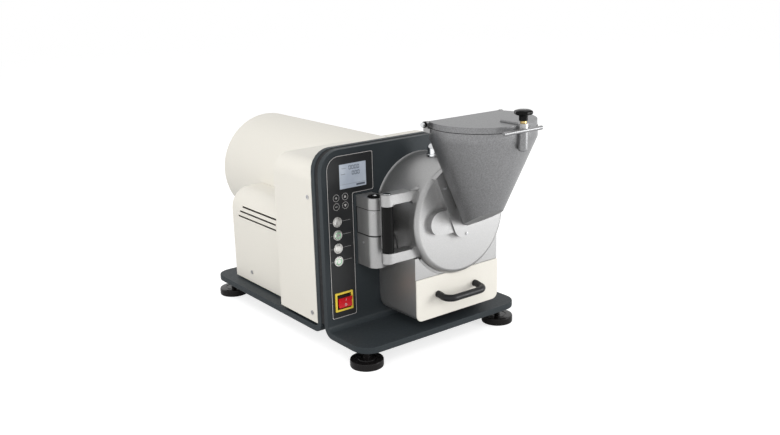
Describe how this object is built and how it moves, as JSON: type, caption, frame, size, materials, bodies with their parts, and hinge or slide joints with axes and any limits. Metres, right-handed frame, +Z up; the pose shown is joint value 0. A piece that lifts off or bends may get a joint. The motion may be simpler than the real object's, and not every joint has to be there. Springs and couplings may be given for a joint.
{
  "type": "disk mill",
  "caption": "Laboratory disk mill with feed hopper and lid, hinged grinding chamber door, collecting drawer, control panel and motor cover.",
  "frame": {"origin": "on the floor, midway between the sides and midway between the foremost and the rearmost point", "axes": "+Z up, -Y toward the hopper and the operator, +Y toward the motor, +X to the operator's right"},
  "size_m": [0.445, 0.9977, 0.5358],
  "materials": {
    "slate_coat": "fine textured dark slate powder coat",
    "seal_rubber": "matt black",
    "foot_rubber": "matt black",
    "silver_coat": "silver grey sparkle coat",
    "white_coat": "satin off-white powder coat",
    "polished_steel": "polished",
    "bare_steel": "machined",
    "cast_iron": "as cast",
    "black_plastic": "satin black",
    "cable_rubber": "matt black",
    "screw_brass": "bright",
    "label_film": "matt dark film",
    "display_glass": "smooth, pale blue lit",
    "frame_yellow": "satin yellow",
    "rocker_red": "satin red"
  },
  "bodies": {
    "frame": {"front_tray_plate": "slate_coat", "rear_base_plate": "slate_coat", "plate_gap_seal": "seal_rubber", "foot_front_left": "foot_rubber", "foot_front_right": "foot_rubber", "foot_rear_left": "foot_rubber", "foot_rear_right": "foot_rubber", "chamber_housing": "silver_coat", "chamber_cap": "polished_steel", "hinge_bracket": "silver_coat", "main_hinge_pin": "black_plastic", "shaft_bearing": "bare_steel", "motor_stator": "cast_iron", "motor_end_shield": "cast_iron", "motor_cradle": "cast_iron", "motor_cover": "white_coat", "motor_end_grille": "black_plastic", "front_housing": "white_coat", "lower_rear_cover": "white_coat", "mains_inlet": "black_plastic", "housing_screw_left_top": "bare_steel", "housing_screw_left_bottom": "bare_steel", "housing_screw_right_top": "bare_steel", "housing_screw_right_bottom": "bare_steel", "cover_screw_left": "bare_steel", "cover_screw_right": "bare_steel", "panel_label": "label_film", "display_window": "display_glass", "button_bezel_1": "polished_steel", "button_bezel_2": "polished_steel", "button_bezel_3": "polished_steel", "button_bezel_4": "polished_steel", "switch_frame": "frame_yellow"},
    "hinge_link": {"hinge_link": "silver_coat", "hinge_barrel": "black_plastic"},
    "door": {"chamber_door": "silver_coat", "door_hinge_pin": "bare_steel", "sensor_cable": "cable_rubber", "hopper": "silver_coat", "hopper_screw_left": "bare_steel", "hopper_screw_right": "bare_steel", "hopper_screw_foot": "bare_steel", "lid_hinge_pin": "polished_steel", "fixed_disk": "bare_steel"},
    "lid": {"hopper_lid": "silver_coat"},
    "knob": {"clamp_knob": "black_plastic", "clamp_screw": "screw_brass"},
    "drawer": {"drawer_front": "white_coat", "drawer_box": "bare_steel", "drawer_handle": "black_plastic"},
    "button_1": {"push_button_1": "polished_steel"},
    "button_2": {"push_button_2": "polished_steel"},
    "button_3": {"push_button_3": "polished_steel"},
    "button_4": {"push_button_4": "polished_steel"},
    "rocker": {"switch_rocker": "rocker_red"},
    "rotor": {"main_shaft": "bare_steel", "disk_carrier": "cast_iron", "rotating_disk": "bare_steel", "cooling_fan": "black_plastic"}
  },
  "joints": [
    {"name": "hinge_link_swing", "type": "hinge", "parent": "frame", "child": "hinge_link", "pos_m": [-0.119, -0.211, 0.2885], "axis": [0, 0, 1], "range_deg": [-35, 0]},
    {"name": "door_swing", "type": "hinge", "parent": "hinge_link", "child": "door", "pos_m": [-0.1348, -0.2737, 0.2903], "axis": [0, 0, 1], "range_deg": [-100, 0]},
    {"name": "lid_swing", "type": "hinge", "parent": "door", "child": "lid", "pos_m": [0.036, -0.317, 0.4993], "axis": [-1, 0, 0], "range_deg": [0, 105]},
    {"name": "clamp_knob_turn", "type": "hinge", "parent": "lid", "child": "knob", "pos_m": [0.036, -0.482, 0.5138], "axis": [0, 0, 1], "continuous": true},
    {"name": "drawer_slide", "type": "slide", "parent": "frame", "child": "drawer", "axis": [0, -1, 0], "range_m": [0, 0.085]},
    {"name": "rocker_tilt", "type": "hinge", "parent": "frame", "child": "rocker", "pos_m": [-0.1755, -0.167, 0.1133], "axis": [1, 0, 0], "range_deg": [-12, 0]},
    {"name": "rotor_spin", "type": "hinge", "parent": "frame", "child": "rotor", "pos_m": [0.036, -0.167, 0.2888], "axis": [0, 1, 0], "continuous": true},
    {"name": "button_1_press", "type": "slide", "parent": "frame", "child": "button_1", "axis": [0, 1, 0], "range_m": [0, 0.0015], "stiffness_N_per_m": 800},
    {"name": "button_2_press", "type": "slide", "parent": "frame", "child": "button_2", "axis": [0, 1, 0], "range_m": [0, 0.0015], "stiffness_N_per_m": 800},
    {"name": "button_3_press", "type": "slide", "parent": "frame", "child": "button_3", "axis": [0, 1, 0], "range_m": [0, 0.0015], "stiffness_N_per_m": 800},
    {"name": "button_4_press", "type": "slide", "parent": "frame", "child": "button_4", "axis": [0, 1, 0], "range_m": [0, 0.0015], "stiffness_N_per_m": 800}
  ],
  "couplings": [
    {"joint": "hinge_link_swing", "follows": "door_swing", "ratio": 0.35}
  ]
}
